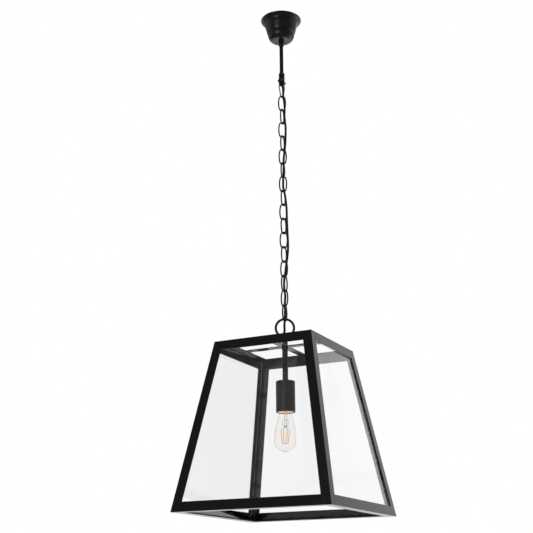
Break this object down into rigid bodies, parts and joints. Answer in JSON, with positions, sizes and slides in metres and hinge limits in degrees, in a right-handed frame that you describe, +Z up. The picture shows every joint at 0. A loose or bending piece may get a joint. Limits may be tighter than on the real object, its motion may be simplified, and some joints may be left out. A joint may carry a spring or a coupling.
{
  "type": "hanging lantern",
  "caption": "Tapered square lantern of black steel angle with clear panes, hung on an oval link chain with its flex from a spun ceiling rose, with a filament bulb.",
  "frame": {"origin": "on the ceiling, over the middle of the lantern, midway between the two ceiling screws", "axes": "+Z up out of the ceiling face; X along the bottom and top rails of the front, the two ceiling screws on X; -Y is the front"},
  "size_m": [0.432, 0.432, 1.424],
  "materials": {
    "frame_black": "satin black paint",
    "fitting_black": "satin black paint",
    "rose_black": "smooth satin black, a little glossier than the frame",
    "chain_black": "satin black paint",
    "holder_black": "satin black paint",
    "flex_black": "matt black round flex",
    "pane_glass": "clear float glass",
    "bulb_glass": "clear blown glass",
    "filament_amber": "amber filament rods, lit",
    "bulb_wire": "drawn wire and pressed glass",
    "cap_metal": "rolled screw cap",
    "brass": "turned brass",
    "zinc_steel": "zinc plated",
    "holder_porcelain": "glazed porcelain",
    "terminal_plastic": "moulded terminal block",
    "core_insulation": "insulated cores: brown, blue, and green with yellow"
  },
  "bodies": {
    "ceiling_mount": {"ceiling_bracket": "zinc_steel", "tube_locknuts": "brass", "drop_tube": "fitting_black", "terminal_block": "terminal_plastic", "wire_cores": "core_insulation", "clamp": "fitting_black", "clamp_screw": "zinc_steel", "pivot_screws": "fitting_black", "flex": "flex_black"},
    "rose": {"rose": "rose_black", "rose_collar": "fitting_black", "collar_screw": "fitting_black"},
    "bail": {"bail": "fitting_black"},
    "link_01": {"link_01": "chain_black"},
    "link_02": {"link_02": "chain_black"},
    "link_03": {"link_03": "chain_black"},
    "link_04": {"link_04": "chain_black"},
    "link_05": {"link_05": "chain_black"},
    "link_06": {"link_06": "chain_black"},
    "link_07": {"link_07": "chain_black"},
    "link_08": {"link_08": "chain_black"},
    "link_09": {"link_09": "chain_black"},
    "link_10": {"link_10": "chain_black"},
    "link_11": {"link_11": "chain_black"},
    "link_12": {"link_12": "chain_black"},
    "link_13": {"link_13": "chain_black"},
    "link_14": {"link_14": "chain_black"},
    "link_15": {"link_15": "chain_black"},
    "link_16": {"link_16": "chain_black"},
    "ring": {"ring": "chain_black"},
    "lantern": {"eye": "chain_black", "post_back_right": "frame_black", "post_back_left": "frame_black", "post_front_left": "frame_black", "post_front_right": "frame_black", "top_rail_back": "frame_black", "top_rail_left": "frame_black", "top_rail_front": "frame_black", "top_rail_right": "frame_black", "bottom_rail_back": "frame_black", "bottom_rail_left": "frame_black", "bottom_rail_front": "frame_black", "bottom_rail_right": "frame_black", "pane_back": "pane_glass", "pane_left": "pane_glass", "pane_front": "pane_glass", "pane_right": "pane_glass", "pane_clips": "frame_black", "front_back_bar": "frame_black", "side_bar": "frame_black", "stem_nut": "fitting_black", "stem": "fitting_black", "holder_cover": "holder_black", "holder_core": "holder_porcelain", "holder_contacts": "brass"},
    "bulb": {"bulb_glass": "bulb_glass", "bulb_cap": "cap_metal", "bulb_mount": "bulb_wire", "filaments": "filament_amber"}
  },
  "joints": [
    {"name": "rose_slide", "type": "slide", "parent": "ceiling_mount", "child": "rose", "axis": [0, 0, -1], "range_m": [0, 0.08]},
    {"name": "bail_swing", "type": "hinge", "parent": "ceiling_mount", "child": "bail", "pos_m": [0, 0, -0.201], "axis": [0.2419, 0.9703, 0], "range_deg": [-15, 15], "deforming": ["flex"]},
    {"name": "link_01_swing", "type": "hinge", "parent": "bail", "child": "link_01", "pos_m": [0, 0, -0.2505], "axis": [0.2419, 0.9703, 0], "range_deg": [-6, 6], "deforming": ["flex"]},
    {"name": "link_02_swing", "type": "hinge", "parent": "link_01", "child": "link_02", "pos_m": [0, 0, -0.2921], "axis": [0.8988, 0.4384, 0], "range_deg": [-6, 6], "deforming": ["flex"]},
    {"name": "link_03_swing", "type": "hinge", "parent": "link_02", "child": "link_03", "pos_m": [0, 0, -0.3337], "axis": [0.0349, 0.9994, 0], "range_deg": [-6, 6], "deforming": ["flex"]},
    {"name": "link_04_swing", "type": "hinge", "parent": "link_03", "child": "link_04", "pos_m": [0, 0, -0.3753], "axis": [0.8988, 0.4384, 0], "range_deg": [-6, 6], "deforming": ["flex"]},
    {"name": "link_05_swing", "type": "hinge", "parent": "link_04", "child": "link_05", "pos_m": [0, 0, -0.4169], "axis": [0.0698, 0.9976, 0], "range_deg": [-6, 6], "deforming": ["flex"]},
    {"name": "link_06_swing", "type": "hinge", "parent": "link_05", "child": "link_06", "pos_m": [0, 0, -0.4585], "axis": [0.8988, 0.4384, 0], "range_deg": [-6, 6], "deforming": ["flex"]},
    {"name": "link_07_swing", "type": "hinge", "parent": "link_06", "child": "link_07", "pos_m": [0, 0, -0.5001], "axis": [0.0698, 0.9976, 0], "range_deg": [-6, 6], "deforming": ["flex"]},
    {"name": "link_08_swing", "type": "hinge", "parent": "link_07", "child": "link_08", "pos_m": [0, 0, -0.5417], "axis": [0.9336, 0.3584, 0], "range_deg": [-6, 6], "deforming": ["flex"]},
    {"name": "link_09_swing", "type": "hinge", "parent": "link_08", "child": "link_09", "pos_m": [0, 0, -0.5833], "axis": [0.1392, 0.9903, 0], "range_deg": [-6, 6], "deforming": ["flex"]},
    {"name": "link_10_swing", "type": "hinge", "parent": "link_09", "child": "link_10", "pos_m": [0, 0, -0.6249], "axis": [0.9613, 0.2756, 0], "range_deg": [-6, 6], "deforming": ["flex"]},
    {"name": "link_11_swing", "type": "hinge", "parent": "link_10", "child": "link_11", "pos_m": [0, 0, -0.6665], "axis": [0.2756, 0.9613, 0], "range_deg": [-6, 6], "deforming": ["flex"]},
    {"name": "link_12_swing", "type": "hinge", "parent": "link_11", "child": "link_12", "pos_m": [0, 0, -0.7081], "axis": [0.9613, 0.2756, 0], "range_deg": [-6, 6], "deforming": ["flex"]},
    {"name": "link_13_swing", "type": "hinge", "parent": "link_12", "child": "link_13", "pos_m": [0, 0, -0.7497], "axis": [0.2756, 0.9613, 0], "range_deg": [-6, 6], "deforming": ["flex"]},
    {"name": "link_14_swing", "type": "hinge", "parent": "link_13", "child": "link_14", "pos_m": [0, 0, -0.7913], "axis": [0.9998, 0.0175, 0], "range_deg": [-6, 6], "deforming": ["flex"]},
    {"name": "link_15_swing", "type": "hinge", "parent": "link_14", "child": "link_15", "pos_m": [0, 0, -0.8329], "axis": [0.4067, 0.9135, 0], "range_deg": [-6, 6], "deforming": ["flex"]},
    {"name": "link_16_swing", "type": "hinge", "parent": "link_15", "child": "link_16", "pos_m": [0, 0, -0.8745], "axis": [0.9976, -0.0698, 0], "range_deg": [-6, 6], "deforming": ["flex"]},
    {"name": "ring_swing", "type": "hinge", "parent": "link_16", "child": "ring", "pos_m": [0, 0, -0.9161], "axis": [0.1564, 0.9877, 0], "range_deg": [-15, 15], "deforming": ["flex"]},
    {"name": "lantern_swing", "type": "hinge", "parent": "ring", "child": "lantern", "pos_m": [0, 0, -0.95955], "axis": [0.8988, 0.4384, 0], "range_deg": [-15, 15], "deforming": ["flex"]},
    {"name": "bulb_unscrew", "type": "slide", "parent": "lantern", "child": "bulb", "axis": [0, 0, -1], "range_m": [0, 0.045]}
  ]
}
